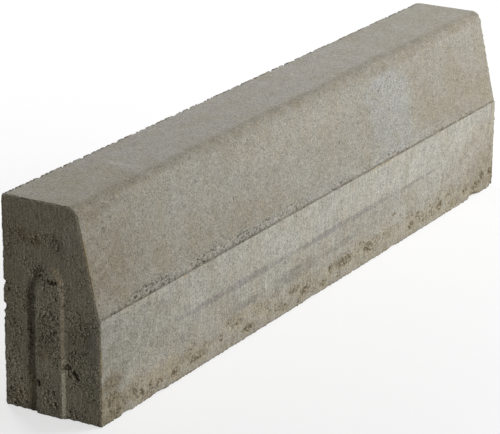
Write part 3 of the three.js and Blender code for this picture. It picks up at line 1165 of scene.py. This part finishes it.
    end_tints_and_painted_light: tuple[Tint, ...] = (
        Tint((0.92, 0.90, 0.85), (Patch(12, 225, 20, 24, 0.7, 0.8), Patch(14, 130, 22, 80, 1.0, 0.8))),
        Tint((0.96, 0.90, 0.84), (
            Patch(24, 211, 10, 8, 0.8), Patch(44, 204, 24, 10, 0.8), Patch(59, 75, 14, 7),
            Patch(14, 14, 15, 13, 0.9),
        )),
        Tint((0.80, 0.79, 0.76), (
            Patch(64, 100, 16, 32, 1.0, 0.8), Patch(106, 100, 20, 36, 1.0, 0.8),
            Patch(75, 200, 14, 16, 0.8),
        )),
        Tint((1.15, 1.15, 1.15), (
            Patch(94, 26, 14, 13, 0.5), Patch(58, 59, 13, 11, 0.8), Patch(15, 40, 18, 30, 0.8),
            Patch(63, 22, 16, 24, 0.7),
        )),
        Tint((0.83, 0.85, 0.92), (Patch(119, 96, 10, 50, 1.0, 0.7),)),
        Tint((0.86, 0.87, 0.85), (Patch(111, 62, 20, 58, 1.0, 0.5), Patch(123, 50, 7, 34, 0.9, 0.5))),
        Tint((0.80, 0.79, 0.76), (
            Patch(92, 94, 9, 34, 0.9, 0.5), Patch(108, 112, 9, 16, 0.8, 0.5),
            Patch(54, 82, 9, 26, 0.8, 0.5), Patch(72, 12, 12, 9, 0.7, 0.5),
        )),
        Tint((0.84, 0.81, 0.75), (Patch(28, 205, 36, 15, 0.9, 0.5), Patch(6, 186, 14, 12, 0.7, 0.5))),
        Tint((1.12, 1.13, 1.17), (Patch(94, 212, 14, 28, 0.9, 0.5),)),
        Tint((1.28, 1.22, 1.12), (Patch(26, 20, 10, 22, 0.6),)),
        # Painted light that lifts the tongue's cast shadow near the bed
        Tint((1.50, 1.42, 1.24), (Patch(38, 26, 5, 32, 1.0, 0.4),)),
        Tint((0.72, 0.69, 0.62), (
            Patch(33, 141, 3, 6), Patch(32, 118, 4, 5), Patch(33, 96, 3, 7), Patch(33, 76, 4, 4),
            Patch(32, 50, 3, 6),
        )),
        # Painted shadow beside the tongue, and painted shade on the left shoulder of its arch
        Tint((0.60, 0.56, 0.50), (
            Patch(38, 152, 5, 11), Patch(45, 166, 5, 6), Patch(52, 171, 7, 3.5, 0.9),
            Patch(36, 108, 5, 64, 0.9), Patch(37, 50, 4, 16, 0.4),
        )),
        # Painted light on the right side of the arch's ramp, which faces the lamps, slightly warm
        Tint((1.26, 1.16, 1.06), (Patch(72, 173, 8, 5, 0.8), Patch(78, 164, 4, 8, 0.9))),
        # Painted highlight on the tongue's lit flank near the bed, and painted shade on it higher up
        Tint((1.30, 1.38, 1.42), (Patch(81.5, 20, 2.4, 56, 1.0, 0.7),)),
        Tint((0.80, 0.78, 0.75), (Patch(81, 110, 3, 56, 0.8, 0.5),)),
        Tint((1.30, 1.18, 0.94), (Patch(130.5, 62, 2.2, 74, 0.8, 0.4),)),
    )

    def material(self, casting: Casting) -> bpy.types.Material:
        """Builds the procedural material.

        Args:
            casting: The casting that it is laid on.

        Returns:
            The material.
        """
        made = bpy.data.materials.new("cast_concrete")
        made.use_nodes = True
        graph = Graph(made.node_tree)
        place = graph.scaled(graph.add("ShaderNodeTexCoord", None, None, "Object"), 1 / MM)
        surface = Surface(graph, place)
        grain, warmth, _ = surface.cells(self.grain_size, place)

        colour = self._tinted_and_painted_light(surface, casting, self._plain(surface))
        colour = self._weathered_and_shaded(surface, warmth, colour)
        colour = graph.scaled(colour, self._level(surface, grain))
        # Dark colour of dirt, with painted shade in the pits, the grain holes and along the back arris
        colour = graph.blend(self._soiled_and_shaded(surface), colour, self.dirt_and_shade)
        bump = {"Distance": self.relief * MM, "Height": self._height(surface)}
        sockets = {
            "Base Color": colour,
            "Roughness": self.roughness,
            "Specular IOR Level": self.specular,
            "Normal": graph.add("ShaderNodeBump", None, bump, "Normal"),
        }
        shader = graph.add("ShaderNodeBsdfPrincipled", None, sockets, 0)
        graph.node("ShaderNodeOutputMaterial", None, {"Surface": shader})
        return made

    def _plain(self, surface: Surface) -> Signal:
        """Colours each side plainly.

        Args:
            surface: The casting's surface.

        Returns:
            The plain colour of each side.
        """
        graph, sides = surface.graph, surface.sides
        colour = graph.blend(sides[Side.BATTER], self.top, self.batter)
        colour = graph.blend(sides[Side.UPRIGHT], colour, self.upright)
        hidden = sides[Side.GROOVE_END].larger_of(sides[Side.BACK]) * self.hidden_share
        return graph.blend(sides[Side.TONGUE_END].larger_of(hidden), colour, self.end)

    def _tinted_and_painted_light(self, surface: Surface, casting: Casting, colour: Signal) -> Signal:
        """Lays the tints, painted light and shade among them, over a colour.

        Args:
            surface: The casting's surface.
            casting: The casting.
            colour: The plain colour.

        Returns:
            The tinted colour, with its painted light and shade.
        """
        graph = surface.graph
        along, _, _ = graph.axes(surface.warped(self.long_push, self.long_reach))
        _, across, up = graph.axes(surface.warped(self.fine_push, self.fine_reach))
        planes = casting.planes(graph, along, across, up)
        broken = surface.mask(self.tint_breaks) * (1.0 - self.least_tint) + self.least_tint
        for side, tints in (
            (Side.TOP, self.top_tints_and_painted_shade),
            (Side.BATTER, self.batter_tints_and_painted_shade),
            (Side.UPRIGHT, self.upright_tints),
            (Side.TONGUE_END, self.end_tints_and_painted_light),
        ):
            for tint in tints:
                cover = graph.patches(planes[side], tint.patches) * surface.sides[side] * broken
                colour = graph.shaded(cover, colour, tint.shade)
        return colour

    def _weathered_and_shaded(self, surface: Surface, warmth: Signal, colour: Signal) -> Signal:
        """Shades a colour where grains are warm and where the concrete is cloudy or open, and paints shade
        along the back arris.

        Args:
            surface: The casting's surface.
            warmth: A random number for each grain.
            colour: The tinted colour.

        Returns:
            The weathered colour, with painted shade along the back arris.
        """
        graph = surface.graph
        opened = graph.mark("openness") * surface.sides[Side.UPRIGHT]
        colour = graph.shaded(warmth.rise(*self.warm_grains) * self.warm_strength, colour, self.warm_shade)
        colour = graph.shaded(surface.mask(self.clouds) * (1 - surface.ends), colour, self.cloud_shade)
        colour = graph.shaded(opened, colour, self.open_shade)
        # Painted shade along the rounded back arris
        shaded_back_arris = graph.mark("back_arris").rise(*self.back_arris_span)
        return graph.shaded(shaded_back_arris, colour, self.back_arris_painted_shade)

    def _level(self, surface: Surface, grain: Signal) -> Signal:
        """How light the concrete is.

        Args:
            surface: The casting's surface.
            grain: A random number for each grain.

        Returns:
            What the colour is multiplied by, about 1.
        """
        swing, by_side = surface.swing, surface.by_side
        openness = surface.graph.mark("openness")
        level = swing(self.sand) * by_side(1.3, top=-0.3) + swing(self.fine_sand) * by_side(0.6, ends=1.0)
        level = level + (grain - NOISE_MEAN) * self.grain_contrast
        level = level * (openness * by_side(0.3, ends=1.6) + by_side(1.0, ends=-0.1))
        level = level + swing(self.grit) * by_side(0.0, top=0.25, batter=0.5)
        level = level + swing(self.blotches) * by_side(0.36, upright=0.16)
        level = level + swing(self.mottling) * by_side(0.0, upright=0.33)
        level = level + swing(self.streaks) * by_side(0.0, upright=0.6, ends=0.35)
        level = level - surface.mask(self.dashes) * openness * by_side(0.0, batter=0.5)
        level = level - surface.spots(self.pores) * by_side(0.5, ends=-0.1)
        level = level + surface.spots(self.flecks) * openness * by_side(0.0, ends=0.7)
        level = level - surface.spots(self.specks) * by_side(0.36, ends=-0.36)
        return level + 1.0

    def _soiled_and_shaded(self, surface: Surface) -> Signal:
        """Gathers dirt and painted shade in the pits and grain holes, dirt between grains of sand, and
        painted shade along the broken back arris.

        Args:
            surface: The casting's surface.

        Returns:
            How fully the dark colour, dirt with painted shade, covers each place.
        """
        graph, by_side = surface.graph, surface.by_side
        # Pits and grain holes get dirt and painted shade; the sand gets dirt
        dirt_and_shade_cover = graph.mark("pits") * self.dirt_and_shade_in_pits + surface.swing(self.sand) * self.dirt_in_sand
        dirt_and_shade_cover = dirt_and_shade_cover + surface.spots(GRAIN_HOLES) * graph.mark("openness") * by_side(0.3, ends=0.5)
        # Painted shade in broken patches along the back arris
        dirt_and_shade_cover = dirt_and_shade_cover + graph.mark("back_arris").rise(*self.shaded_back_arris_span) * surface.mask(self.shaded_back_arris)
        return dirt_and_shade_cover.rise(*self.dirt_and_shade_span) * by_side(0.8, batter=-0.2, upright=-0.18)

    def _height(self, surface: Surface) -> Signal:
        """Gives the concrete its fine relief.

        Args:
            surface: The casting's surface.

        Returns:
            The height of each place, as a share of the relief's depth.
        """
        swing, by_side = surface.swing, surface.by_side
        height = swing(self.fine_sand) + swing(self.sand) * self.sand_relief
        height = (height + swing(self.streaks) * by_side(0.0, ends=0.8)) * by_side(1.0, ends=0.8)
        return height - surface.spots(self.pores) * self.pore_relief


@dataclass(frozen=True)
class StudioFloor:
    """A pale floor that the camera sees nearly white, while it throws little light back."""

    seen: Triple = (0.95, 0.95, 0.95)
    bounced: Triple = (0.3, 0.3, 0.3)
    glow: float = 0.66

    def material(self) -> bpy.types.Material:
        """Builds the floor's material.

        Returns:
            The material.
        """
        made = bpy.data.materials.new("studio_floor")
        made.use_nodes = True
        graph = Graph(made.node_tree)
        shown = graph.shown()
        colour = graph.blend(shown, self.bounced, self.seen)
        matt = graph.add("ShaderNodeBsdfDiffuse", None, {"Color": colour}, 0)
        white = graph.add("ShaderNodeEmission", None, {"Color": WHITE, "Strength": 1.0}, 0)
        mixed = graph.add("ShaderNodeMixShader", None, {0: shown * self.glow, 1: matt, 2: white}, 0)
        graph.node("ShaderNodeOutputMaterial", None, {"Surface": mixed})
        return made


# ---- The studio -------------------------------------------------------------------------------


@dataclass(frozen=True)
class SoftBox:
    """A square lamp with a soft edge.

    Attributes:
        name: What it is called.
        place: Where it hangs, in metres.
        target: The point that it faces.
        side: The length of its side, in metres.
        power: Its power, in watts.
    """

    name: str
    place: Triple
    target: Triple
    side: float
    power: float

    def hang(self) -> None:
        """Adds the lamp to the scene."""
        lamp = bpy.data.lights.new(self.name, "AREA")
        lamp.shape = "SQUARE"
        lamp.size = self.side
        lamp.energy = self.power
        made = bpy.data.objects.new(self.name, lamp)
        bpy.context.scene.collection.objects.link(made)
        made.location = self.place
        made.rotation_euler = (Vector(self.target) - made.location).to_track_quat("-Z", "Y").to_euler()


@dataclass
class Studio:
    """The floor, the lamps, the sky light and the camera.

    Attributes:
        floor_side: The length of the floor's side, in metres.
        sky_level: How strongly the sky lights the kerb.
        lamps: The lamps.
        camera_place: Where the camera stands, in metres.
        camera_azimuth: The camera's turn about the vertical, in degrees.
        camera_elevation: The camera's tilt above the horizontal, in degrees.
        camera_roll: The camera's turn about its own axis, in degrees.
        focal_length: The lens, in millimetres.
        sensor_width: The sensor, in millimetres.
    """

    floor_side: float = 14.0
    sky_level: float = 0.03
    lamps: tuple[SoftBox, ...] = (
        SoftBox("key_lamp", (1.18, -1.38, 1.23), (0.3, 0.0, 0.1), 1.0, 35.0),
        SoftBox("overhead_lamp", (0.1, -0.4, 2.4), (0.05, 0.0, 0.1), 1.2, 14.0),
        SoftBox("road_side_lamp", (-2.5, -5.2, 1.6), (-0.2, 0.0, 0.1), 1.0, 120.0),
        SoftBox("back_lamp", (1.7, 2.8, 1.5), (0.0, 0.0, 0.1), 1.2, 95.0),
    )
    camera_place: Triple = (-2.5801, -1.4731, 1.1135)
    camera_azimuth: float = -59.58
    camera_elevation: float = 19.07
    camera_roll: float = 0.39
    focal_length: float = 179.4
    sensor_width: float = 36.0

    def build(self, floor_finish: StudioFloor) -> None:
        """Makes the studio.

        Args:
            floor_finish: The floor's finish.
        """
        self._lay_floor(floor_finish)
        self._light_sky()
        for lamp in self.lamps:
            lamp.hang()
        self._set_camera()
        bpy.context.scene.view_settings.view_transform = "Standard"

    def _lay_floor(self, finish: StudioFloor) -> None:
        """Lays the floor under the bed face.

        Args:
            finish: The floor's finish.
        """
        bpy.ops.object.select_all(action="DESELECT")
        bpy.ops.mesh.primitive_grid_add(x_subdivisions=4, y_subdivisions=4, size=self.floor_side)
        floor = bpy.context.object
        floor.name = "studio_floor"
        floor.data.materials.append(finish.material())

    def _light_sky(self) -> None:
        """Lights the scene evenly from all round, and shows white where nothing is."""
        world = bpy.data.worlds.new("studio_sky")
        world.use_nodes = True
        bpy.context.scene.world = world
        graph = Graph(world.node_tree)
        strength = graph.shown() * (1.0 - self.sky_level) + self.sky_level
        sky = graph.add("ShaderNodeBackground", None, {"Color": WHITE, "Strength": strength}, 0)
        graph.node("ShaderNodeOutputWorld", None, {"Surface": sky})

    def _set_camera(self) -> None:
        """Aims the camera by its azimuth, elevation and roll."""
        lens = bpy.data.cameras.new("camera")
        lens.sensor_width = self.sensor_width
        lens.lens = self.focal_length
        camera = bpy.data.objects.new("camera", lens)
        bpy.context.scene.collection.objects.link(camera)
        azimuth, elevation, roll = (
            math.radians(a) for a in (self.camera_azimuth, self.camera_elevation, self.camera_roll)
        )
        back = Vector((
            math.sin(azimuth) * math.cos(elevation),
            -math.cos(azimuth) * math.cos(elevation),
            math.sin(elevation),
        ))
        right = Vector((0, 0, 1)).cross(back).normalized()
        up = back.cross(right)
        turned = Matrix((
            right * math.cos(roll) + up * math.sin(roll),
            up * math.cos(roll) - right * math.sin(roll),
            back,
        )).transposed()
        camera.matrix_world = Matrix.Translation(self.camera_place) @ turned.to_4x4()
        bpy.context.scene.camera = camera


def main() -> None:
    """Builds the kerb and its studio from the frame."""
    logging.basicConfig(level=logging.INFO, format="%(name)s: %(message)s")
    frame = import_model()

    casting = Casting()
    casting.build(frame["nodes"][casting.node])
    casting.dress(CastConcrete())
    mesh = casting.piece.data
    LOG.info("casting: %d points, %d faces", len(mesh.vertices), len(mesh.polygons))

    Studio().build(StudioFloor())
    LOG.info("studio: floor, sky, lamps and camera")


if __name__ == "__main__":
    main()
